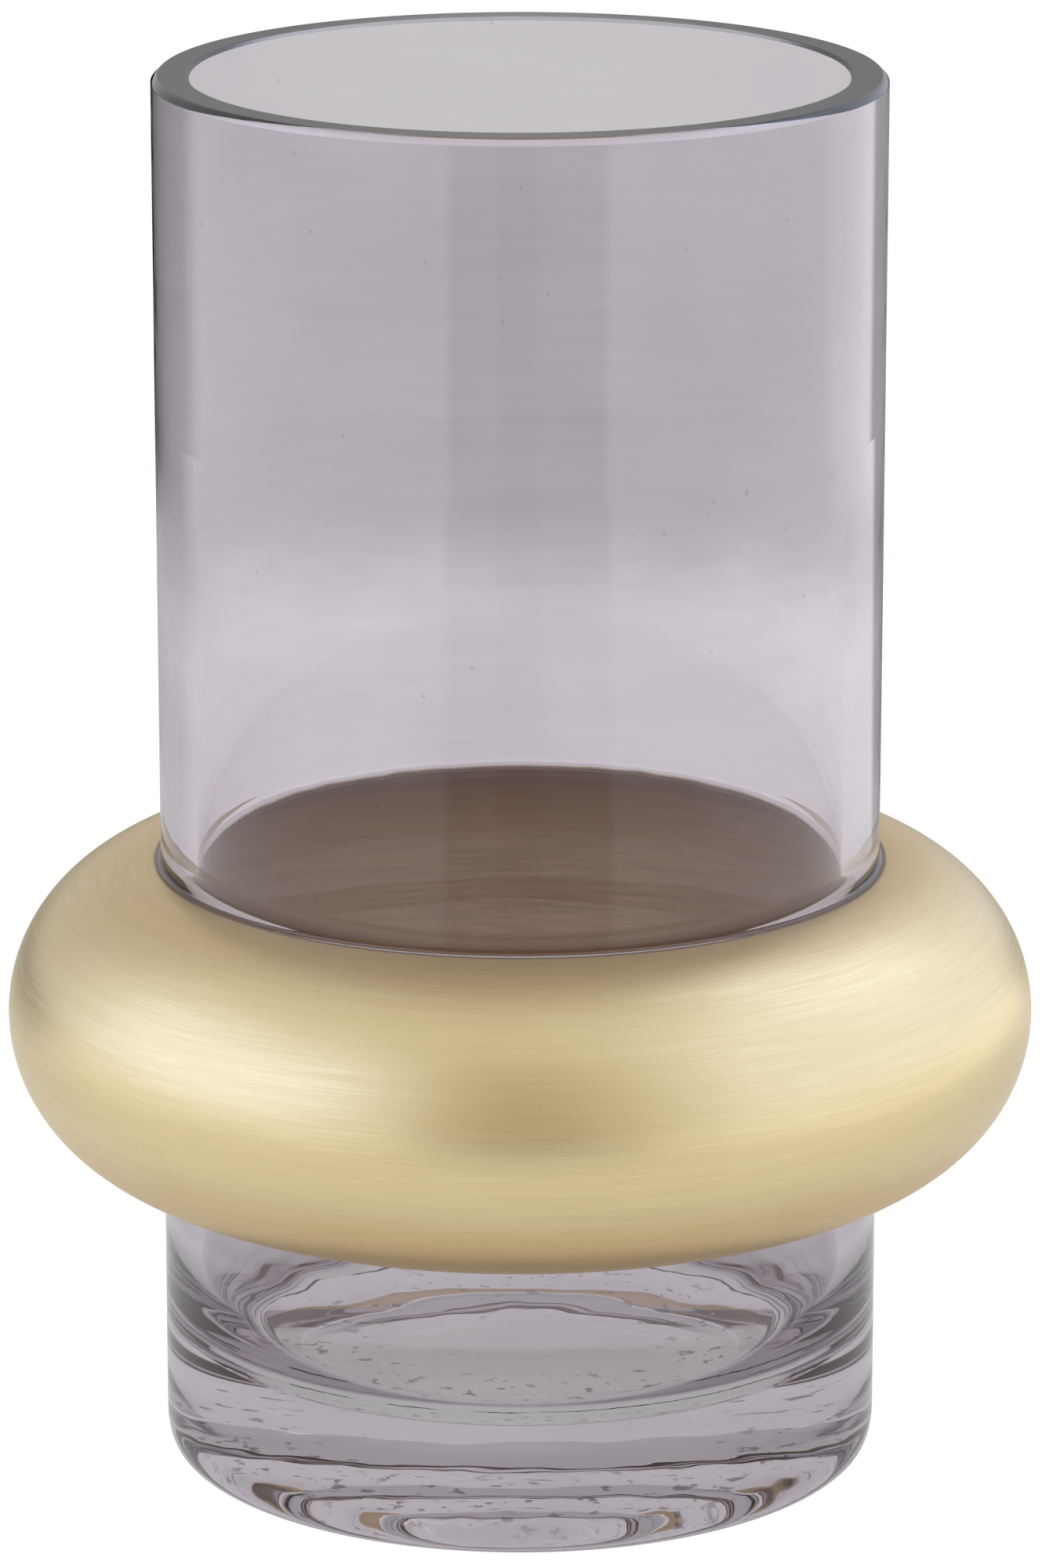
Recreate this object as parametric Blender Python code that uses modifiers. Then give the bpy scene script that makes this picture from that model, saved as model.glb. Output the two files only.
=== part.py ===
"""Blown-glass cylinder vase with a hollow ring-shaped bulge and a metallic band on the bulge.

The vessel is one turned body of glass: a tube, a bulge blown out round its lower half, a short
foot below the bulge, and a thick floor. The band is the metallic coat on the outside of the
bulge, modelled as a thin shell of its own. Lengths are in metres, +Z is up, and the origin is
the centre of the underside.
"""

import math

import bpy
from mathutils import Vector

# Driving dimensions.
HEIGHT = 0.240
TUBE_RADIUS = 0.0615
WALL = 0.0064
RIM_CHAMFER_OUT = 0.0011
RIM_CHAMFER_IN = 0.0006

# The bulge: an elliptical section, whose centre stands just inside the tube's outer face.
BULGE_Z = 0.0781
BULGE_REACH = 0.0257
BULGE_HALF_HEIGHT = 0.0262
BULGE_CENTRE_INSET = 0.0014
BULGE_WALL = 0.0046
NECK_FILLET_OUT = 0.0006
NECK_FILLET_IN = 0.0075

# The foot: thick floor, a tall soft corner inside it, and a domed hollow under it. The hollow
# leaves a flat ring to stand on. A larger flatness keeps more of the dome level and its edge
# steeper.
FLOOR_HEIGHT = 0.0196
FLOOR_CORNER_WIDTH = 0.0095
FLOOR_CORNER_HEIGHT = 0.0185
FOOT_EDGE_WIDTH = 0.0023
FOOT_EDGE_HEIGHT = 0.0056
PUNT_INSET = 0.0074
PUNT_DEPTH = 0.0068
PUNT_FLATNESS = 2.8

# The metallic band: a shell that follows the bulge at one clearance.
BAND_THICKNESS = 0.0004
BAND_CLEARANCE = 0.0003
BAND_MARGIN = 0.0004

STEPS_ROUND = 64
BULGE_POINTS = 21
BULGE_POINTS_IN = 15
COLLECTION = "cylinder_vase"


def clear_scene():
    for obj in list(bpy.data.objects):
        bpy.data.objects.remove(obj, do_unlink=True)


def fillet(before, corner, after, radius, pieces):
    """Points of the arc that rounds the corner between two straight lines."""
    start = (before - corner).normalized()
    end = (after - corner).normalized()
    angle = start.angle(end)
    reach = radius / math.tan(angle / 2)
    centre = corner + (start + end).normalized() * radius / math.sin(angle / 2)
    first = corner + start * reach - centre
    last = corner + end * reach - centre
    begin = math.atan2(first.y, first.x)
    sweep = math.atan2(last.y, last.x) - begin
    sweep = (sweep + math.pi) % (2 * math.pi) - math.pi
    turns = [begin + sweep * i / pieces for i in range(pieces + 1)]
    return [centre + radius * Vector((math.cos(t), math.sin(t))) for t in turns]


class Section:
    """The ellipse of the bulge, offset along its normal where a distance is given."""

    def __init__(self, half_width, half_height, offset=0.0):
        self.centre = Vector((TUBE_RADIUS - BULGE_CENTRE_INSET, BULGE_Z))
        self.half_width = half_width
        self.half_height = half_height
        self.offset = offset

    def point(self, angle):
        cosine, sine = math.cos(angle), math.sin(angle)
        on_curve = Vector((self.half_width * cosine, self.half_height * sine))
        normal = Vector((self.half_height * cosine, self.half_width * sine)).normalized()
        return self.centre + on_curve + normal * self.offset

    def angle_at_radius(self, radius):
        """The angle, over the middle, at which the curve has come in to this radius."""
        low, high = 0.0, math.pi / 2
        for _ in range(50):
            middle = (low + high) / 2
            if self.point(middle).x > radius:
                low = middle
            else:
                high = middle
        return (low + high) / 2

    def arc(self, top, bottom, count):
        return [self.point(top + (bottom - top) * i / (count - 1)) for i in range(count)]


def neck(section, wall_radius, radius, pieces, side):
    """The rounded corner between a straight wall and the bulge, from wall to bulge.

    The side is 1 for the neck above the bulge and -1 for the one below. The angle that comes
    back is where the rounding ends on the bulge.
    """
    angle = section.angle_at_radius(wall_radius + radius)
    joint = section.point(side * angle)
    corner = Vector((wall_radius, joint.y))
    along_wall = Vector((wall_radius, joint.y + side))
    return fillet(along_wall, corner, joint, radius, pieces), angle


def vessel_profile():
    """The glass section: from the axis over the floor, up inside, and down the outside."""
    inside = TUBE_RADIUS - WALL
    outer = Section(BULGE_REACH + BULGE_CENTRE_INSET, BULGE_HALF_HEIGHT)
    inner = Section(outer.half_width - BULGE_WALL, outer.half_height - BULGE_WALL)

    points = [Vector((0, FLOOR_HEIGHT))]
    for i in range(9):
        turn = math.pi / 2 * i / 8
        radius = inside - FLOOR_CORNER_WIDTH * (1 - math.sin(turn))
        points.append(Vector((radius, FLOOR_HEIGHT + FLOOR_CORNER_HEIGHT * (1 - math.cos(turn)))))

    low_neck, angle = neck(inner, inside, NECK_FILLET_IN, 5, -1)
    high_neck, _ = neck(inner, inside, NECK_FILLET_IN, 5, 1)
    points += low_neck
    points += inner.arc(-angle, angle, BULGE_POINTS_IN)[1:-1]
    points += high_neck[::-1]

    points.append(Vector((inside, HEIGHT - RIM_CHAMFER_IN)))
    points.append(Vector((inside + RIM_CHAMFER_IN, HEIGHT)))
    points.append(Vector((TUBE_RADIUS - RIM_CHAMFER_OUT, HEIGHT)))
    points.append(Vector((TUBE_RADIUS, HEIGHT - RIM_CHAMFER_OUT)))

    high_neck, angle = neck(outer, TUBE_RADIUS, NECK_FILLET_OUT, 4, 1)
    low_neck, _ = neck(outer, TUBE_RADIUS, NECK_FILLET_OUT, 4, -1)
    points += high_neck
    points += outer.arc(angle, -angle, BULGE_POINTS)[1:-1]
    points += low_neck[::-1]

    for i in range(6):
        turn = math.pi / 2 * i / 5
        radius = TUBE_RADIUS - FOOT_EDGE_WIDTH * (1 - math.cos(turn))
        points.append(Vector((radius, FOOT_EDGE_HEIGHT * (1 - math.sin(turn)))))
    punt_radius = TUBE_RADIUS - PUNT_INSET
    for share in (1.0, 0.93, 0.85, 0.75, 0.6, 0.4, 0.0):
        rise = PUNT_DEPTH * (1 - share**PUNT_FLATNESS)
        points.append(Vector((punt_radius * share, rise)))
    return points


def band_profile():
    """The band's closed section: down its outer face, and up its inner face."""
    half_width = BULGE_REACH + BULGE_CENTRE_INSET
    face = Section(half_width, BULGE_HALF_HEIGHT, BAND_CLEARANCE + BAND_THICKNESS)
    back = Section(half_width, BULGE_HALF_HEIGHT, BAND_CLEARANCE)
    edge = TUBE_RADIUS + NECK_FILLET_OUT + BAND_MARGIN
    angle = back.angle_at_radius(edge)
    return face.arc(angle, -angle, BULGE_POINTS) + back.arc(-angle, angle, BULGE_POINTS)


def turned(name, profile, closed, material, collection):
    """A body turned about the vertical axis from one profile."""
    count = len(profile)
    edges = [(i, i + 1) for i in range(count - 1)]
    if closed:
        edges.append((count - 1, 0))
    mesh = bpy.data.meshes.new(name)
    mesh.from_pydata([(p.x, 0, p.y) for p in profile], edges, [])
    body = bpy.data.objects.new(name, mesh)
    collection.objects.link(body)
    mesh.materials.append(material)
    screw = body.modifiers.new("turn", "SCREW")
    screw.axis = "Z"
    screw.angle = 2 * math.pi
    screw.steps = STEPS_ROUND
    screw.render_steps = STEPS_ROUND
    screw.use_merge_vertices = True
    screw.merge_threshold = 0.00001
    screw.use_smooth_shade = True
    return body


def glass_material():
    material = bpy.data.materials.new("smoked_glass")
    material.use_nodes = True
    shader = material.node_tree.nodes["Principled BSDF"]
    shader.inputs["Base Color"].default_value = (0.60, 0.56, 0.62, 1)
    shader.inputs["Transmission Weight"].default_value = 1
    shader.inputs["Roughness"].default_value = 0.02
    shader.inputs["IOR"].default_value = 1.5
    return material


def band_material():
    material = bpy.data.materials.new("brushed_brass_coat")
    material.use_nodes = True
    shader = material.node_tree.nodes["Principled BSDF"]
    shader.inputs["Base Color"].default_value = (0.66, 0.50, 0.25, 1)
    shader.inputs["Metallic"].default_value = 1
    shader.inputs["Roughness"].default_value = 0.38
    return material


clear_scene()
vase = bpy.data.collections.new(COLLECTION)
bpy.context.scene.collection.children.link(vase)
turned("glass_vessel", vessel_profile(), False, glass_material(), vase)
turned("metallic_band", band_profile(), True, band_material(), vase)
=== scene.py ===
# %% [markdown]
# # A blown glass cylinder vase with a brass-coated bulge
#
# The real vase is one piece of mouth-blown glass. A straight tube stands on a thick floor, and
# low down on the tube the hot glass was blown out into a hollow ring. The outside is stained
# with a thin smoky film, and the ring carries a satin coat of pale brass. This lesson builds
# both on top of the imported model, which gives the sizes and the place of each piece.
#
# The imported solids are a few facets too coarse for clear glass, because every facet bends the
# light in its own way. So each is hidden, and a finely turned piece takes its place.

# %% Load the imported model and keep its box
import math

import bpy
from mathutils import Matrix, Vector, noise


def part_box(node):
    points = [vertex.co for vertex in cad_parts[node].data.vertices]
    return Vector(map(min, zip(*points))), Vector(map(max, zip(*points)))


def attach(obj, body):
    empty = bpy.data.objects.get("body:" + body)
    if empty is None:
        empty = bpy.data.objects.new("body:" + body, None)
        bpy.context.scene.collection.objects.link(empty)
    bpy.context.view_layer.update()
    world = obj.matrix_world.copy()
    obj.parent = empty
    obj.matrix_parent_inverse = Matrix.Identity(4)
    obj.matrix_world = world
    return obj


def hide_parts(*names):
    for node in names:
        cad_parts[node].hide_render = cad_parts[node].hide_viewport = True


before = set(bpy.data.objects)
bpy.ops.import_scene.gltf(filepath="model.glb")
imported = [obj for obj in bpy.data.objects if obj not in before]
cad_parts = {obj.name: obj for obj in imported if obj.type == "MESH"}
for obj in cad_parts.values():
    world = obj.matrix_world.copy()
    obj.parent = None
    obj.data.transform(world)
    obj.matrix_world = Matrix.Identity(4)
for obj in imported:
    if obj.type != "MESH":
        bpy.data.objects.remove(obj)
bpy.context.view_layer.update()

print("packed nodes:", sorted(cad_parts))

# %% [markdown]
# ## Sizes
#
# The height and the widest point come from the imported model. The rest are the sizes a glass
# maker would note down: the tube, its wall, the ring's section, the floor and the hollow dome
# that is pressed up under the foot. Everything is in metres.

# %% Sizes of the vase
glass_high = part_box("glass_vessel")[1]
band_low, band_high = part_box("metallic_band")

MM = 0.001
HEIGHT = glass_high.z
TUBE_RADIUS = 61.5 * MM
WALL = 6.4 * MM
TUBE_INSIDE = TUBE_RADIUS - WALL
RING_HEIGHT = (band_low.z + band_high.z) / 2
RING_CENTRE = TUBE_RADIUS - 1.4 * MM
COAT_SHARE = 0.12 * MM
RING_WIDE = band_high.x - RING_CENTRE - COAT_SHARE
RING_TALL = 26.2 * MM + 0.6 * MM
RING_WALL = 4.6 * MM
FLOOR_TOP = 19.6 * MM
CORNER_WIDE, CORNER_TALL = 9.5 * MM, 18.5 * MM
DOME_RADIUS = 54.1 * MM
DOME_RISE = 6.8 * MM

print("height", round(HEIGHT / MM, 1), "ring reach", round(band_high.x / MM, 1))

# %% [markdown]
# ## Drawing a section
#
# A turned piece is one half section, spun round the vertical axis. The section is drawn with
# straight lines, ellipse arcs and rounded corners. Clear glass shows every flaw of its shading
# normals, so long lines get extra points: one close to each end, which keeps the rounding of
# the corner out of the flat wall, and more between them.

# %% Helpers that draw a section
SUPPORT = 0.12 * MM


def arc(centre, wide, tall, start, end, count):
    """Points of an ellipse arc, with its angles in degrees."""
    turns = [math.radians(start + (end - start) * i / (count - 1)) for i in range(count)]
    return [centre + Vector((wide * math.cos(t), tall * math.sin(t))) for t in turns]


def rounded(before, corner, after, radius, count):
    """The arc that rounds one corner between two straight lines."""
    u, v = (before - corner).normalized(), (after - corner).normalized()
    angle = u.angle(v)
    centre = corner + (u + v).normalized() * radius / math.sin(angle / 2)
    first = corner + u * radius / math.tan(angle / 2) - centre
    last = corner + v * radius / math.tan(angle / 2) - centre
    begin = math.atan2(first.y, first.x)
    sweep = (math.atan2(last.y, last.x) - begin + math.pi) % (2 * math.pi) - math.pi
    return [
        centre + radius * Vector((math.cos(begin + sweep * i / count), math.sin(begin + sweep * i / count)))
        for i in range(count + 1)
    ]


def line(start, end, spacing):
    """Points inside a straight line, with a support close to each end."""
    length = (end - start).length
    if length < 6 * SUPPORT:
        return []
    count = max(2, round(length / spacing))
    shares = [SUPPORT / length] + [i / count for i in range(1, count)] + [1 - SUPPORT / length]
    return [start.lerp(end, share) for share in shares]


def joined(parts, spacings):
    """One section from its parts, with supported lines between them."""
    points = list(parts[0])
    for part, spacing in zip(parts[1:], spacings):
        points += line(points[-1], part[0], spacing)
        points += part
    return points


def ring_angle(wide, radius):
    """The angle in degrees at which a ring section has come in to a radius."""
    return math.degrees(math.acos((radius - RING_CENTRE) / wide))


print("support distance in mm:", SUPPORT / MM)

# %% [markdown]
# ## The inside of the glass
#
# The inside runs over the floor, round the soft corner that blown glass always has, up the
# wall, out into the hollow ring and on to the rim. The wall of the ring is thinner, because the
# glass stretched as it was blown. The lower neck of a blown piece is never quite even, so its
# wall has slow ripples, which give the light its wavy edges.

# %% Section of the inside
ring_centre = Vector((RING_CENTRE, RING_HEIGHT))
INNER_WIDE, INNER_TALL = RING_WIDE - RING_WALL, RING_TALL - RING_WALL
NECK_SOFT = 7.5 * MM
RIM_CUT = 0.6 * MM


def neck(wide, tall, wall_radius, radius, side, count):
    """The rounded corner between a wall and the ring, from wall to ring, and its angle."""
    angle = ring_angle(wide, wall_radius + radius)
    joint = arc(ring_centre, wide, tall, side * angle, side * angle, 2)[0]
    corner = Vector((wall_radius, joint.y))
    return rounded(corner + Vector((0, side)), corner, joint, radius, count), angle


floor_centre = Vector((0, FLOOR_TOP))
corner_centre = Vector((TUBE_INSIDE - CORNER_WIDE, FLOOR_TOP + CORNER_TALL))
floor_corner = arc(corner_centre, CORNER_WIDE, CORNER_TALL, -90, 0, 30)
low_neck, inner_angle = neck(INNER_WIDE, INNER_TALL, TUBE_INSIDE, NECK_SOFT, -1, 14)
high_neck, _ = neck(INNER_WIDE, INNER_TALL, TUBE_INSIDE, NECK_SOFT, 1, 14)
hollow = arc(ring_centre, INNER_WIDE, INNER_TALL, -inner_angle, inner_angle, 48)[1:-1]
rim_inside = [Vector((TUBE_INSIDE, HEIGHT - RIM_CUT))]
inside = joined(
    [[floor_centre], floor_corner, low_neck + hollow + high_neck[::-1], rim_inside],
    [3 * MM, 1.2 * MM, 4 * MM],
)
print("points on the inside:", len(inside))

# %% [markdown]
# ## The rim, the outside and the foot
#
# The rim was cut flat and its two edges were broken with a small chamfer. Below the ring the
# tube comes down to a rounded foot. The maker pressed the middle of the foot up into a shallow
# dome, so that only a narrow ring of glass touches the table.

# %% Section of the rim, the outside and the underside
RIM_CHAMFER = 1.1 * MM
SEAM_SOFT = 0.6 * MM
FOOT_WIDE, FOOT_TALL = 2.3 * MM, 5.6 * MM

rim = [Vector((TUBE_INSIDE + RIM_CUT, HEIGHT)), Vector((TUBE_RADIUS - RIM_CHAMFER, HEIGHT))]
rim_outside = [Vector((TUBE_RADIUS, HEIGHT - RIM_CHAMFER))]
high_seam, seam_angle = neck(RING_WIDE, RING_TALL, TUBE_RADIUS, SEAM_SOFT, 1, 8)
low_seam, _ = neck(RING_WIDE, RING_TALL, TUBE_RADIUS, SEAM_SOFT, -1, 8)
ring_face = arc(ring_centre, RING_WIDE, RING_TALL, seam_angle, -seam_angle, 68)[1:-1]
foot = arc(Vector((TUBE_RADIUS - FOOT_WIDE, FOOT_TALL)), FOOT_WIDE, FOOT_TALL, 0, -90, 16)
outside = joined(
    [rim_outside, high_seam + ring_face + low_seam[::-1], foot], [4 * MM, 2 * MM]
)

DOME_POINTS = 44
DOME_FLATNESS = 2.8
dome = []
for i in range(DOME_POINTS + 1):
    share = 1 - i / DOME_POINTS
    dome.append(Vector((DOME_RADIUS * share, DOME_RISE * (1 - share**DOME_FLATNESS))))
underside = joined([[outside[-1]], dome], [1.5 * MM])[1:]
rim_faces = line(inside[-1], rim[0], 1) + joined([[rim[0]], [rim[1]]], [1.2 * MM])
print("points outside:", len(outside), "under the foot:", len(underside))

# %% [markdown]
# ## Turning the section
#
# The turner places each point of the section round the axis. Two small reliefs move the points
# off the perfect shape, as a hand-made piece has them: ripples round the inside of the lower
# neck, and the hammered look of glass that chilled against the tool under the foot.

# %% Reliefs of hand-worked glass
STEPS_ROUND = 256
RIPPLE_HEIGHT, RIPPLE_REACH = 40 * MM, 16 * MM
RIPPLE_LENGTH, RIPPLE_DEPTH = 3.4 * MM, 0.05 * MM
DOME_TOP = 8 * MM


def neck_ripple(height):
    """How far the inner wall of the lower neck moves in or out at a height."""
    share = max(0.0, 1 - abs(height - RIPPLE_HEIGHT) / RIPPLE_REACH)
    wave = noise.noise(Vector((3.1, 0.7, height / RIPPLE_LENGTH)))
    return share * RIPPLE_DEPTH * wave


def dome_ripple(x, y):
    """How far the dome under the foot moves up or down at a place."""
    radius = math.hypot(x, y)
    share = min(1.0, max(0.0, (DOME_RADIUS - radius) / (6 * MM)))
    slow = noise.noise(Vector((x / (17 * MM), y / (17 * MM), 4.0)))
    quick = noise.noise(Vector((x / (5 * MM), y / (5 * MM), 9.0)))
    return share * (0.07 * slow + 0.03 * quick) * MM


print("steps round:", STEPS_ROUND)

# %% The turner
def turned(name, section, closed=False, ripple=None):
    """A mesh turned about the vertical axis, with one smooth skin."""
    vertices, rows = [], []
    for point in section:
        if point.x < 1e-6:
            rows.append([len(vertices)] * STEPS_ROUND)
            vertices.append((0, 0, point.y + (ripple(0, 0, point) if ripple else 0)))
            continue
        rows.append(list(range(len(vertices), len(vertices) + STEPS_ROUND)))
        for step in range(STEPS_ROUND):
            turn = 2 * math.pi * step / STEPS_ROUND
            x, y = point.x * math.cos(turn), point.x * math.sin(turn)
            lift = ripple(x, y, point) if ripple else 0
            vertices.append((x, y, point.y + lift))
    faces, places = [], []
    last = len(rows) if closed else len(rows) - 1
    for i in range(last):
        low, high = rows[i], rows[(i + 1) % len(rows)]
        for step in range(STEPS_ROUND):
            after = (step + 1) % STEPS_ROUND
            corners = [low[step], low[after], high[after], high[step]]
            face = [c for n, c in enumerate(corners) if c not in corners[:n]]
            if len(face) > 2:
                faces.append(face)
                places.append(i)
    mesh = bpy.data.meshes.new(name)
    mesh.from_pydata(vertices, [], faces)
    mesh.polygons.foreach_set("use_smooth", [True] * len(faces))
    piece = bpy.data.objects.new(name, mesh)
    bpy.context.scene.collection.objects.link(piece)
    return piece, places


# %% Turn the glass
def glass_relief(x, y, point):
    """The relief at a point: the dome has one, and the rest of the glass has none."""
    return dome_ripple(x, y) if point.y < DOME_TOP and point.x < DOME_RADIUS else 0.0


inside_rippled = [
    p + Vector((neck_ripple(p.y), 0)) if abs(p.y - RIPPLE_HEIGHT) < RIPPLE_REACH else p
    for p in inside
]
glass_section = inside_rippled + rim_faces + outside + underside
vase, glass_rows = turned("smoked_glass_vase", glass_section, ripple=glass_relief)
print("glass faces:", len(vase.data.polygons))

# %% [markdown]
# ## The brass coat
#
# On the real ring the coat is far thinner than paper and sits in the glass itself. Here it is a
# thin shell whose back lies just inside the glass face, so that seen through the glass it is
# the first thing behind it, with no air between. It thins to nothing at both seams.

# %% Turn the coat
COAT_POINTS = 84
COAT_BACK = -0.06 * MM
COAT_EDGE = -0.03 * MM
COAT_THINS = 0.02
coat_angle = ring_angle(RING_WIDE, TUBE_RADIUS + SEAM_SOFT + 0.05 * MM)


def coat_face(offset_at):
    """The ring's face from the upper seam to the lower one, offset along its normal."""
    points = []
    for i in range(COAT_POINTS + 1):
        share = i / COAT_POINTS
        turn = math.radians(coat_angle * (1 - 2 * share))
        normal = Vector((RING_TALL * math.cos(turn), RING_WIDE * math.sin(turn))).normalized()
        place = ring_centre + Vector((RING_WIDE * math.cos(turn), RING_TALL * math.sin(turn)))
        points.append(place + normal * offset_at(share))
    return points


def coat_outside(share):
    """How far the coat stands out: full over the ring, and under the glass face at its edges."""
    full = min(1.0, min(share, 1 - share) / COAT_THINS)
    return COAT_EDGE + (COAT_SHARE - COAT_EDGE) * full


coat_section = coat_face(coat_outside) + coat_face(lambda share: COAT_BACK)[::-1]
coat, coat_rows = turned("brass_coat", coat_section, closed=True)
print("coat faces:", len(coat.data.polygons))

# %% Turn every face outwards
import bmesh

for piece in (vase, coat):
    mesh = bmesh.new()
    mesh.from_mesh(piece.data)
    bmesh.ops.recalc_face_normals(mesh, faces=mesh.faces)
    mesh.to_mesh(piece.data)
    mesh.free()
print("turned outwards")

# %% [markdown]
# ## Patterns that several finishes share
#
# Four effects turn up in more than one finish: streaks that run round the turned piece, slow
# clouds, small specks and fine grain. Each is a shader node group, built once, with named inputs
# for its size and strength. A group keeps the materials short, and one change to it reaches
# every finish that uses it.

# %% Helpers that place and join nodes
def put(tree, value, socket):
    """Sets a socket to a number or colour, or joins another node's output to it."""
    if isinstance(value, bpy.types.NodeSocket):
        tree.links.new(value, socket)
    elif value is not None:
        socket.default_value = value


def calculate(tree, operation, a, b=None, c=None):
    """A Math node's result."""
    made = tree.nodes.new("ShaderNodeMath")
    made.operation = operation
    for value, socket in zip((a, b, c), made.inputs):
        put(tree, value, socket)
    return made.outputs[0]


def soft_step(tree, value, low, high):
    """Rises softly from 0 at low to 1 at high."""
    made = tree.nodes.new("ShaderNodeMapRange")
    made.interpolation_type = "SMOOTHSTEP"
    for given, socket in zip((value, low, high), made.inputs):
        put(tree, given, socket)
    return made.outputs[0]


def between(tree, value, low, high, soft):
    """1 between low and high and 0 outside, with soft ends."""
    rise = soft_step(tree, value, low - soft, low + soft)
    fall = soft_step(tree, value, high - soft, high + soft)
    return calculate(tree, "MULTIPLY", rise, calculate(tree, "SUBTRACT", 1, fall))


def parts_of(tree, vector):
    split = tree.nodes.new("ShaderNodeSeparateXYZ")
    put(tree, vector, split.inputs[0])
    return split.outputs


def from_axis(tree, x, y):
    """The distance from the vertical axis."""
    squares = calculate(tree, "MULTIPLY_ADD", y, y, calculate(tree, "MULTIPLY", x, x))
    return calculate(tree, "SQRT", squares)


def vector_of(tree, x, y, z):
    made = tree.nodes.new("ShaderNodeCombineXYZ")
    for value, socket in zip((x, y, z), made.inputs):
        put(tree, value, socket)
    return made.outputs[0]


def place_in(tree):
    """The place on the piece, in metres."""
    return tree.nodes.new("ShaderNodeTexCoord").outputs["Object"]


def noise_in(tree, vector, scale, detail=2.0, fourth=None):
    """Noise over the piece, or in four dimensions when a fourth value is given."""
    made = tree.nodes.new("ShaderNodeTexNoise")
    made.noise_dimensions = "4D" if fourth is not None else "3D"
    for label, value in (("Vector", vector), ("Scale", scale), ("Detail", detail)):
        put(tree, value, made.inputs[label])
    if fourth is not None:
        put(tree, fourth, made.inputs["W"])
    return made.outputs["Fac"]


def new_pattern(name, inputs, output):
    """An empty node group with number sockets, and the sockets to build between."""
    group = bpy.data.node_groups.new(name, "ShaderNodeTree")
    for label, value in inputs.items():
        socket = group.interface.new_socket(label, in_out="INPUT", socket_type="NodeSocketFloat")
        socket.default_value = value
    group.interface.new_socket(output, in_out="OUTPUT", socket_type="NodeSocketFloat")
    given = group.nodes.new("NodeGroupInput").outputs
    return group, given, group.nodes.new("NodeGroupOutput").inputs[output]


def use_pattern(tree, group, **values):
    """Places a group in a material with its own values, and gives its result."""
    made = tree.nodes.new("ShaderNodeGroup")
    made.node_tree = group
    for label, value in values.items():
        put(tree, value, made.inputs[label])
    return made.outputs[0]


print("node helpers ready")

# %% Streaks that run round the piece
# Every point at the same radius and height has nearly the same value, so a streak runs round.
streaks, given, result = new_pattern("turned_streaks", {"Spacing": 0.5 * MM, "Change": 3.0}, "Streaks")
x, y, z = parts_of(streaks, place_in(streaks))
radius = from_axis(streaks, x, y)
round_x = calculate(streaks, "MULTIPLY", calculate(streaks, "DIVIDE", x, radius), given["Change"])
round_y = calculate(streaks, "MULTIPLY", calculate(streaks, "DIVIDE", y, radius), given["Change"])
up = calculate(streaks, "DIVIDE", z, given["Spacing"])
out = calculate(streaks, "DIVIDE", radius, given["Spacing"])
lines = noise_in(streaks, vector_of(streaks, round_x, round_y, up), 1.0, 3.0, out)
put(streaks, soft_step(streaks, lines, 0.3, 0.7), result)
print("built", streaks.name)

# %% Slow clouds
clouds, given, result = new_pattern("soft_clouds", {"Size": 20 * MM}, "Clouds")
size = calculate(clouds, "DIVIDE", 1, given["Size"])
put(clouds, soft_step(clouds, noise_in(clouds, place_in(clouds), size), 0.3, 0.7), result)
print("built", clouds.name)

# %% Specks, and fine grain
# A speck is the middle of a random cell, and only some of the cells hold one.
specks, given, result = new_pattern("small_specks", {"Size": 1.5 * MM, "Share": 0.02}, "Specks")
cells = specks.nodes.new("ShaderNodeTexVoronoi")
put(specks, place_in(specks), cells.inputs["Vector"])
put(specks, calculate(specks, "DIVIDE", 1, given["Size"]), cells.inputs["Scale"])
inner = calculate(specks, "SUBTRACT", 1, soft_step(specks, cells.outputs["Distance"], 0.08, 0.2))
chosen = calculate(
    specks, "LESS_THAN", parts_of(specks, cells.outputs["Color"])[0], given["Share"]
)
put(specks, calculate(specks, "MULTIPLY", inner, chosen), result)

grain, given, result = new_pattern("fine_grain", {"Size": 0.3 * MM}, "Grain")
size = calculate(grain, "DIVIDE", 1, given["Size"])
put(grain, noise_in(grain, place_in(grain), size, 4.0), result)
print("built", specks.name, "and", grain.name)

# %% Helpers for materials
GLASS_BENDS = 1.5


def new_material(name):
    material = bpy.data.materials.new(name)
    material.use_nodes = True
    tree = material.node_tree
    return material, tree, tree.nodes["Principled BSDF"]


def mixed_colour(tree, share, first, second):
    made = tree.nodes.new("ShaderNodeMix")
    made.data_type = "RGBA"
    put(tree, share, made.inputs["Factor"])
    put(tree, (*first, 1), made.inputs["A"])
    put(tree, (*second, 1), made.inputs["B"])
    return made.outputs["Result"]


def raised(tree, height, distance, strength=1.0):
    """A normal bent by a height pattern whose full relief is a distance in metres."""
    made = tree.nodes.new("ShaderNodeBump")
    for label, value in (("Height", height), ("Distance", distance), ("Strength", strength)):
        put(tree, value, made.inputs[label])
    return made.outputs["Normal"]


def make_glass(shader):
    shader.inputs["Transmission Weight"].default_value = 1
    shader.inputs["Metallic"].default_value = 0
    shader.inputs["IOR"].default_value = GLASS_BENDS


def mixed_shader(tree, share, first, second):
    made = tree.nodes.new("ShaderNodeMixShader")
    for value, socket in zip((share, first, second), made.inputs):
        put(tree, value, socket)
    return made.outputs[0]


print("glass bends light by", GLASS_BENDS)

# %% [markdown]
# ## The smoky film
#
# The colour isn't in the glass. The thick foot would be the darkest place if it were, and it is
# one of the lightest. The colour is a see-through film on the outside, grey with a trace of
# violet. A Principled shader tints light that goes through a face. It doesn't tint light that
# the same face mirrors back into the glass, though that light crosses the film twice. So faces
# seen from inside use a refracting and a mirroring shader of their own, mixed by Fresnel, and the
# mirror has the colour of two crossings. That is what turns the thick neck a deep violet.

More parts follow.
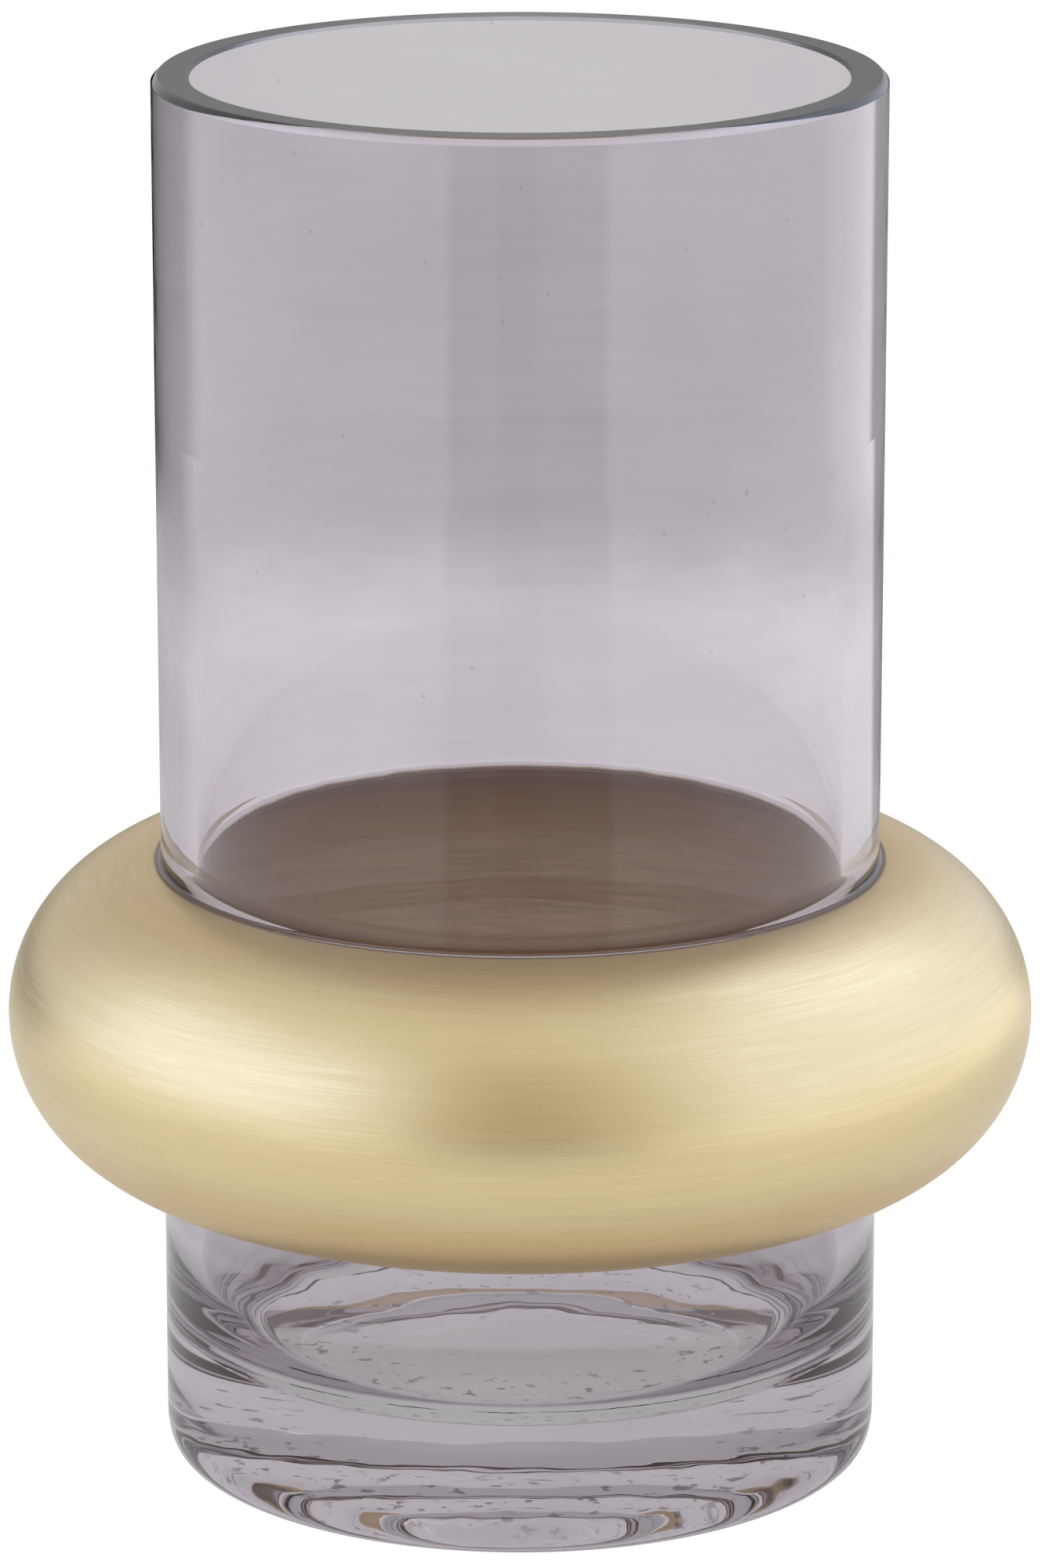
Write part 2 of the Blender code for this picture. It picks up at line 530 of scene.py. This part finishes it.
# %% The film on the outside
FILM_THIN, FILM_THICK = (0.60, 0.557, 0.605), (0.52, 0.47, 0.528)
SEED_COLOUR, SEED_STRENGTH = (0.2, 0.19, 0.2), 0.45

film_glass, tree, shader = new_material("smoky_film_on_glass")
make_glass(shader)
drift = use_pattern(tree, clouds, Size=38 * MM)
sprayed = use_pattern(tree, streaks, Spacing=2.4 * MM, Change=1.5)
density = calculate(tree, "MULTIPLY_ADD", sprayed, 0.3, calculate(tree, "MULTIPLY", drift, 0.7))
seeds = use_pattern(tree, specks, Size=2.6 * MM, Share=0.02)
film = mixed_colour(tree, density, FILM_THIN, FILM_THICK)
seeded = tree.nodes.new("ShaderNodeMix")
seeded.data_type = "RGBA"
put(tree, calculate(tree, "MULTIPLY", seeds, SEED_STRENGTH), seeded.inputs["Factor"])
put(tree, film, seeded.inputs["A"])
put(tree, (*SEED_COLOUR, 1), seeded.inputs["B"])
film = seeded.outputs["Result"]
put(tree, film, shader.inputs["Base Color"])
put(tree, calculate(tree, "MULTIPLY", seeds, 0.12), shader.inputs["Roughness"])
one_crossing = tree.nodes.new("ShaderNodeGamma")
one_crossing.inputs["Gamma"].default_value = 0.5
put(tree, film, one_crossing.inputs["Color"])
through = tree.nodes.new("ShaderNodeBsdfRefraction")
put(tree, one_crossing.outputs[0], through.inputs["Color"])
mirrored = tree.nodes.new("ShaderNodeBsdfAnisotropic")
put(tree, film, mirrored.inputs["Color"])
fresnel = tree.nodes.new("ShaderNodeFresnel")
for made, label, value in (
    (through, "Roughness", 0),
    (through, "IOR", GLASS_BENDS),
    (mirrored, "Roughness", 0),
    (fresnel, "IOR", GLASS_BENDS),
):
    made.inputs[label].default_value = value
inner_face = mixed_shader(tree, fresnel.outputs[0], through.outputs[0], mirrored.outputs[0])
seen_from_inside = tree.nodes.new("ShaderNodeNewGeometry").outputs["Backfacing"]
both = mixed_shader(tree, seen_from_inside, shader.outputs[0], inner_face)
put(tree, both, tree.nodes["Material Output"].inputs["Surface"])
print("made", film_glass.name)

# %% [markdown]
# ## Clear glass inside, and the worked glass under the foot
#
# The inside has no film. Blown glass is never quite flat, so it gets a very slow swell. The foot
# was pressed on a cool tool, which leaves small chill marks, and a thin ragged line runs where the
# dome meets the foot. Both are drawn dark as painted shade: a mask mixes a dark, dull shader into
# the glass, because light that is mirrored inside glass can't be darkened by the glass colour.

# %% Clear glass
clear_glass, tree, shader = new_material("clear_glass")
make_glass(shader)
seeds = use_pattern(tree, specks, Size=3.2 * MM, Share=0.012)
put(tree, mixed_colour(tree, seeds, (1, 1, 1), (0.7, 0.7, 0.7)), shader.inputs["Base Color"])
put(tree, calculate(tree, "MULTIPLY", seeds, 0.12), shader.inputs["Roughness"])
swell = use_pattern(tree, clouds, Size=16 * MM)
put(tree, raised(tree, swell, 0.02 * MM), shader.inputs["Normal"])
print("made", clear_glass.name)

# %% Glass under the foot
foot_glass, tree, shader = new_material("foot_glass_painted_shade")
make_glass(shader)
shader.inputs["Base Color"].default_value = (1, 1, 1, 1)
shader.inputs["Roughness"].default_value = 0
x, y, z = parts_of(tree, place_in(tree))
radius = from_axis(tree, x, y)

# the ragged line: a thin ring of painted shade at the dome's edge, pushed in and out, and broken here and
# there
slow = noise_in(tree, place_in(tree), 1 / (11 * MM), 1.0)
quick = calculate(tree, "MULTIPLY", use_pattern(tree, grain, Size=2.2 * MM), 1.8 * MM)
ragged = calculate(tree, "MULTIPLY_ADD", slow, 1.6 * MM, quick)
edge = calculate(tree, "SUBTRACT", calculate(tree, "ADD", radius, ragged), DOME_RADIUS + 1.5 * MM)
off_line = soft_step(tree, calculate(tree, "ABSOLUTE", edge), 0.25 * MM, 0.6 * MM)
shade_line_mask = calculate(tree, "SUBTRACT", 1, off_line)
broken = soft_step(tree, noise_in(tree, place_in(tree), 1 / (19 * MM), 1.0), 0.40, 0.47)
shade_line_mask = calculate(tree, "MULTIPLY", shade_line_mask, broken)

# the chill marks: small patches of painted shade in a wide ring between the dome's middle and its edge
marks = soft_step(tree, noise_in(tree, place_in(tree), 1 / (3.2 * MM), 3.0), 0.61, 0.68)
in_dome = between(tree, radius, 26 * MM, 48 * MM, 8 * MM)
marks = calculate(tree, "MULTIPLY", calculate(tree, "MULTIPLY", marks, in_dome), 0.6)
# the dark, dull shader that paints the shade into the foot glass
dull = tree.nodes.new("ShaderNodeBsdfPrincipled")
dull.inputs["Base Color"].default_value = (0.015, 0.015, 0.018, 1)
dull.inputs["Roughness"].default_value = 0.6
glass_with_painted_shade = mixed_shader(
    tree, calculate(tree, "MAXIMUM", shade_line_mask, marks), shader.outputs[0], dull.outputs[0]
)
put(tree, glass_with_painted_shade, tree.nodes["Material Output"].inputs["Surface"])
print("made", foot_glass.name)

# %% [markdown]
# ## The ground rim
#
# After the top was cut off, the rim was ground flat on a stone. Ground glass is dull and grey,
# with a fine grain and a few tiny chips. The grain drives the colour and the roughness, and the
# grain and the chips a small bump.

# %% Ground rim
ground_glass, tree, shader = new_material("ground_rim_glass")
make_glass(shader)
dust = use_pattern(tree, grain, Size=0.5 * MM)
chips = use_pattern(tree, specks, Size=1.1 * MM, Share=0.10)
put(tree, mixed_colour(tree, dust, (0.22, 0.22, 0.24), (0.40, 0.40, 0.43)), shader.inputs["Base Color"])
put(tree, calculate(tree, "MULTIPLY_ADD", dust, 0.2, 0.25), shader.inputs["Roughness"])
relief = calculate(tree, "SUBTRACT", dust, chips)
put(tree, raised(tree, relief, 0.05 * MM), shader.inputs["Normal"])
print("made", ground_glass.name)

# %% [markdown]
# ## The brass coat
#
# The ring has a pale, satin metallic coat. It was rubbed while the vase turned, so fine lines run
# round it and the highlights are drawn out a little along them. Where the lines are deeper the
# coat is rougher and a shade darker. Close to its two seams it is darker and warmer: that is
# painted shade, where the ring meets the tube. Its back is seen through the glass, and there it
# has its own brighter and browner colour: painted light and shade for the inside of the ring.

# %% The coat's two faces
# painted shade: close to the seams the coat colour is multiplied by this darker, warmer tint
SEAM_SHADE_TINT = (1.0, 0.89, 0.77)
TOP_SHADE_SHARE = 0.55
TOP_STARTS = 19 * MM
FOOT_STARTS, FOOT_FULL = 9 * MM, 20 * MM
BRASS_PALE, BRASS_DEEP = (0.67, 0.548, 0.325), (0.60, 0.478, 0.27)
# the back's own colours are brighter and browner than the face: painted light and shade for the inside of
# the ring
BACK_PAINTED_PALE, BACK_PAINTED_DEEP = (0.97, 0.655, 0.35), (0.83, 0.54, 0.27)


def brass_finish(name, pale, deep, rough, spread):
    """A satin metal with fine lines round the piece, slow clouds, specks and painted shade near the seams.
    """
    material, tree, shader = new_material(name)
    shader.inputs["Metallic"].default_value = 1
    fine = use_pattern(tree, streaks, Spacing=0.2 * MM, Change=6.0)
    broad = use_pattern(tree, streaks, Spacing=1.2 * MM, Change=2.0)
    cloudy = use_pattern(tree, clouds, Size=24 * MM)
    pits = use_pattern(tree, specks, Size=1.7 * MM, Share=0.035)
    tone = calculate(tree, "MULTIPLY_ADD", fine, 0.4, calculate(tree, "MULTIPLY", broad, 0.25))
    tone = calculate(tree, "MULTIPLY_ADD", cloudy, 0.2, tone)
    tone = calculate(tree, "MAXIMUM", tone, pits)
    height = parts_of(tree, place_in(tree))[2]
    over = calculate(tree, "SUBTRACT", height, RING_HEIGHT)
    # painted shade: darker and warmer close to the upper seam and the lower seam
    top_shade = calculate(tree, "MULTIPLY", soft_step(tree, over, TOP_STARTS, RING_TALL), TOP_SHADE_SHARE)
    under = calculate(tree, "SUBTRACT", RING_HEIGHT, height)
    foot_shade = soft_step(tree, under, FOOT_STARTS, FOOT_FULL)
    seam_shade = calculate(tree, "MAXIMUM", top_shade, foot_shade)
    seam_shade_mix = tree.nodes.new("ShaderNodeMix")
    seam_shade_mix.data_type = "RGBA"
    seam_shade_mix.blend_type = "MULTIPLY"
    put(tree, seam_shade, seam_shade_mix.inputs["Factor"])
    put(tree, mixed_colour(tree, tone, pale, deep), seam_shade_mix.inputs["A"])
    put(tree, (*SEAM_SHADE_TINT, 1), seam_shade_mix.inputs["B"])
    put(tree, seam_shade_mix.outputs["Result"], shader.inputs["Base Color"])
    put(tree, calculate(tree, "MULTIPLY_ADD", fine, spread, rough), shader.inputs["Roughness"])
    put(tree, raised(tree, fine, 0.008 * MM), shader.inputs["Normal"])
    return material


brass = brass_finish("satin_brass_coat", BRASS_PALE, BRASS_DEEP, 0.31, 0.1)
# the back of the coat, coloured with painted light and shade
brass_back_painted = brass_finish("brass_back_painted_light", BACK_PAINTED_PALE, BACK_PAINTED_DEEP, 0.42, 0.1)
print("made", brass.name, "and", brass_back_painted.name)

# %% Give each face its finish
INSIDE_FACE, FILM_FACE, RIM_FACE, FOOT_FACE = range(4)
for material in (clear_glass, film_glass, ground_glass, foot_glass):
    vase.data.materials.append(material)
first_rim = len(inside_rippled) - 1
first_out = first_rim + len(rim_faces)
last_out = first_out + len(outside)
for face, row in zip(vase.data.polygons, glass_rows):
    if row < first_rim:
        face.material_index = INSIDE_FACE
    elif row < first_out:
        face.material_index = RIM_FACE
    elif row < last_out:
        face.material_index = FILM_FACE
    else:
        face.material_index = FOOT_FACE
for material in (brass, brass_back_painted):
    coat.data.materials.append(material)
for face, row in zip(coat.data.polygons, coat_rows):
    face.material_index = 0 if row < COAT_POINTS else 1
print("faces by finish:", [sum(f.material_index == i for f in vase.data.polygons) for i in range(4)])

# %% [markdown]
# ## The table and the room
#
# A clear vase looks like whatever stands around it, so the light is built with care. The table is
# a white disc and the room is a plain world. Both are a little different for light that comes
# through the glass and for light that glass or brass mirrors, as in a studio, where the
# backdrop, the side boxes and the dark gap at the camera each show in only one of them.

# %% Directions round the vase
# Each pair is a stretch of the circle in degrees: 0 is the front and 90 the right.
FRONT_GAP, GAP_MIDDLE = (-22, 27), (-7, 6)
BACK_RIGHT_BOX = (112, 143)
BEHIND_RIGHT, BEHIND_LEFT = (142, 148), (-132, -116)
SIDE_GLOW = (55, 135)
OPEN_FRONT = (-104, 104)
print("dark front gap in degrees:", FRONT_GAP)

# %% Helpers for the light
SEEN = 1.1


def azimuth_of(tree, x, y):
    """Degrees round the vase, from the front."""
    turn = calculate(tree, "ARCTAN2", x, calculate(tree, "MULTIPLY", y, -1))
    return calculate(tree, "MULTIPLY", turn, 180 / math.pi)


def by_ray(tree, camera_level, through_level, mirrored_level):
    """One level for the camera, one for light through glass and one for all other light."""
    path = tree.nodes.new("ShaderNodeLightPath").outputs
    direct, bent = path["Is Camera Ray"], path["Is Transmission Ray"]
    other = calculate(tree, "SUBTRACT", 1, calculate(tree, "ADD", direct, bent))
    total = calculate(tree, "MULTIPLY", direct, camera_level)
    total = calculate(tree, "MULTIPLY_ADD", bent, through_level, total)
    return calculate(tree, "MULTIPLY_ADD", other, mirrored_level, total)


def dark_places_of(tree, azimuth):
    """The front gap, the dark place behind on the left, and the one behind on the right."""
    gap = calculate(tree, "MULTIPLY", between(tree, azimuth, *FRONT_GAP, 2), 0.8)
    gap = calculate(tree, "MULTIPLY_ADD", between(tree, azimuth, *GAP_MIDDLE, 2), 0.25, gap)
    left_back = calculate(tree, "SUBTRACT", 1, soft_step(tree, azimuth, *BEHIND_LEFT))
    return gap, left_back, soft_step(tree, azimuth, *BEHIND_RIGHT)


def far_level_of(tree, azimuth):
    """What is mirrored from low down beyond the table: bright at the sides, dark in front."""
    gap, left_back, behind = dark_places_of(tree, azimuth)
    level = calculate(tree, "MULTIPLY", calculate(tree, "SUBTRACT", 1.05, gap), 1.25)
    back_right = between(tree, azimuth, *BACK_RIGHT_BOX, 5)
    level = calculate(tree, "MULTIPLY_ADD", back_right, 0.5, level)
    level = calculate(tree, "MULTIPLY_ADD", behind, -1.0, level)
    return calculate(tree, "MULTIPLY", level, calculate(tree, "SUBTRACT", 1, left_back))


print("white as the camera sees it:", SEEN)

# %% The table top
TABLE = 0.82
TABLE_DROP = 0.4 * MM
TABLE_CORNERS = 120
table_mesh = bpy.data.meshes.new("table")
turns = [2 * math.pi * step / TABLE_CORNERS for step in range(TABLE_CORNERS)]
table_mesh.from_pydata(
    [(TABLE * math.cos(t), TABLE * math.sin(t), -TABLE_DROP) for t in turns],
    [],
    [range(TABLE_CORNERS)],
)
table = bpy.data.objects.new("table", table_mesh)
bpy.context.scene.collection.objects.link(table)
print("table radius in m:", TABLE)

# %% The table's white for light that comes through the glass
# It is shaded close to the vase, a little brighter on a crest half way out, and dimmer behind it.
SHADED, CREST, DIMMER = (0.04, 0.26), (0.54, 0.62), (0.58, 0.72)

table_white, tree, shader = new_material("table_white")
tree.nodes.remove(shader)
glow = tree.nodes.new("ShaderNodeEmission")
put(tree, glow.outputs[0], tree.nodes["Material Output"].inputs["Surface"])
x, y, z = parts_of(tree, tree.nodes.new("ShaderNodeNewGeometry").outputs["Position"])
distance = from_axis(tree, x, y)
azimuth = azimuth_of(tree, x, y)

through_level = calculate(tree, "MULTIPLY_ADD", soft_step(tree, distance, *SHADED), 0.5, 0.5)
crest = between(tree, distance, *CREST, 0.05)
through_level = calculate(tree, "MULTIPLY_ADD", crest, 0.08, through_level)
dimmer = calculate(tree, "MULTIPLY", soft_step(tree, distance, *DIMMER), 0.26)
through_level = calculate(tree, "SUBTRACT", through_level, dimmer)
print("shaded up to", SHADED[1], "m from the axis")

# %% The table's white for mirrored light
# It is even near the vase. Further out it has brighter sides, the dark gap and dark places behind.
NEAR_LEVEL, OUTER_RISE = 1.02, 0.28
OUTER, GAP_STARTS, GLOW_RING = (0.28, 0.5), (0.26, 0.48), (0.45, 0.72)
CONTACT, EDGE_STARTS = (0.06, 0.17), 0.66

gap, left_back, behind = dark_places_of(tree, azimuth)
outer = soft_step(tree, distance, *OUTER)
near_level = calculate(tree, "MULTIPLY_ADD", outer, OUTER_RISE, NEAR_LEVEL)
dark_gap = calculate(tree, "MULTIPLY", gap, soft_step(tree, distance, *GAP_STARTS))
near_level = calculate(tree, "MULTIPLY_ADD", dark_gap, -0.6, near_level)
glow_ring = between(tree, distance, *GLOW_RING, 0.06)
side_glow = calculate(tree, "MULTIPLY", between(tree, azimuth, *SIDE_GLOW, 15), glow_ring)
near_level = calculate(tree, "MULTIPLY_ADD", side_glow, 0.4, near_level)
dark_left = calculate(tree, "MULTIPLY", left_back, 0.5)
dark_back = calculate(tree, "MULTIPLY_ADD", behind, 0.8, dark_left)
dark_back = calculate(tree, "MULTIPLY", dark_back, outer)
near_level = calculate(tree, "MULTIPLY", near_level, calculate(tree, "SUBTRACT", 1, dark_back))
own_shade = calculate(tree, "SUBTRACT", 1, between(tree, azimuth, *OPEN_FRONT, 20))
own_shade = calculate(tree, "MULTIPLY_ADD", own_shade, -0.15, 1)
near_level = calculate(tree, "MULTIPLY", near_level, own_shade)
contact = calculate(tree, "MULTIPLY_ADD", soft_step(tree, distance, *CONTACT), 0.3, 0.7)
near_level = calculate(tree, "MULTIPLY", near_level, contact)

# at the table's edge the level runs into that of the room beyond
change = calculate(tree, "SUBTRACT", far_level_of(tree, azimuth), near_level)
edge = soft_step(tree, distance, EDGE_STARTS, TABLE)
mirrored_level = calculate(tree, "MULTIPLY_ADD", change, edge, near_level)
put(tree, by_ray(tree, SEEN, through_level, mirrored_level), glow.inputs["Strength"])
table_mesh.materials.append(table_white)
print("even up to", OUTER[0], "m from the axis")

# %% [markdown]
# ## The room
#
# Satin metal mirrors the whole room, softly. Large soft boxes on both sides give the ring its two
# wide highlights, and the dark places between them make it look round. The room is drawn in the
# world shader: each box is a stretch of directions, round and upwards, with soft ends.

# %% The soft boxes of the room
BACKDROP = 0.76
PLAIN_ROOM = 0.95
world = bpy.data.worlds.new("studio")
bpy.context.scene.world = world
world.use_nodes = True
tree = world.node_tree
x, y, z = parts_of(tree, tree.nodes.new("ShaderNodeTexCoord").outputs["Generated"])
azimuth = azimuth_of(tree, x, y)
elevation = calculate(tree, "MULTIPLY", calculate(tree, "ARCSINE", z), 180 / math.pi)


def box_light(level, sides, heights, soft_side, soft_height, strength):
    """Adds a soft box, or a dark gap when strength is negative, to the mirrored level."""
    across = between(tree, azimuth, *sides, soft_side)
    upwards = between(tree, elevation, *heights, soft_height)
    mask = calculate(tree, "MULTIPLY", across, upwards)
    return calculate(tree, "MULTIPLY_ADD", mask, strength, level)


high_level = box_light(PLAIN_ROOM, (-112, -34), (-8, 45), 18, 14, 0.58)
high_level = box_light(high_level, (44, 146), (-8, 62), 16, 12, 0.40)
high_level = box_light(high_level, (104, 146), (34, 66), 10, 10, 0.35)
high_level = box_light(high_level, (-17, 17), (-10, 50), 14, 12, -0.34)
high_level = box_light(high_level, (-200, -132), (-8, 60), 12, 15, -0.22)
high_level = box_light(high_level, (164, 200), (-8, 60), 8, 15, -0.25)
print("backdrop seen through glass:", BACKDROP)

# %% The room's colours
# The soft boxes run cooler than the rest, so bright places lean to blue, and the rear does more so.
# Each channel has the power that its level is raised to, and what the rear adds to it.
CHANNELS = ((1.0, 0.0), (1.3, 0.08), (1.85, 0.3))
HORIZON = (-4, 0)
NOT_REAR = (-125, 150)

above = soft_step(tree, elevation, *HORIZON)
low_level = far_level_of(tree, azimuth)
change = calculate(tree, "SUBTRACT", high_level, low_level)
studio = calculate(tree, "MULTIPLY_ADD", change, above, low_level)
rear = calculate(tree, "SUBTRACT", 1, between(tree, azimuth, *NOT_REAR, 14))
rear = calculate(tree, "MULTIPLY", rear, above)
channels = []
for power, cool in CHANNELS:
    steep = calculate(tree, "MULTIPLY_ADD", above, power - 1, 1)
    level = calculate(tree, "POWER", studio, steep)
    level = calculate(tree, "MULTIPLY", level, calculate(tree, "MULTIPLY_ADD", rear, cool, 1))
    channels.append(by_ray(tree, SEEN, BACKDROP, level))
put(tree, vector_of(tree, *channels), tree.nodes["Background"].inputs["Color"])
print("channels:", len(channels))

# %% [markdown]
# ## The camera
#
# A long lens from a little above, looking down by about 15 degrees, keeps the tube's sides
# parallel. The film is then set up so that white stays white, and enough bounces are allowed
# for light to find its way through several walls of glass.

# %% The camera and how light is counted
LOOKS_DOWN = 15.47
STANDS_BACK, STANDS_UP = 1.2128, 0.4527
FOCAL_LENGTH, FILM_WIDTH = 169.06, 36
CLEAR_BOUNCES, MIRROR_BOUNCES = 24, 16

camera_data = bpy.data.cameras.new("camera")
camera = bpy.data.objects.new("camera", camera_data)
bpy.context.scene.collection.objects.link(camera)
camera_data.sensor_width = FILM_WIDTH
camera_data.lens = FOCAL_LENGTH
camera_data.shift_x = 0.0006
camera.location = (0, -STANDS_BACK, STANDS_UP)
camera.rotation_euler = (math.radians(90 - LOOKS_DOWN), 0, 0)

studio_scene = bpy.context.scene
studio_scene.camera = camera
studio_scene.view_settings.view_transform = "Standard"
studio_scene.cycles.max_bounces = CLEAR_BOUNCES
studio_scene.cycles.transmission_bounces = CLEAR_BOUNCES
studio_scene.cycles.transparent_max_bounces = CLEAR_BOUNCES
studio_scene.cycles.glossy_bounces = MIRROR_BOUNCES
print("camera looks down by", LOOKS_DOWN, "degrees")

# %% [markdown]
# ## Joining the pieces to the imported model
#
# Nothing moves on a vase, so both pieces ride on the one body. Each replaces the imported solid
# that it stands for.

# %% Ride and replace
for piece, node_name, slot_name in (
    (vase, "glass_vessel", "smoked_glass"),
    (coat, "metallic_band", "metallic_coat"),
):
    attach(piece, "root")
    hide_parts(node_name)
    print(piece.name, "stands for", node_name)
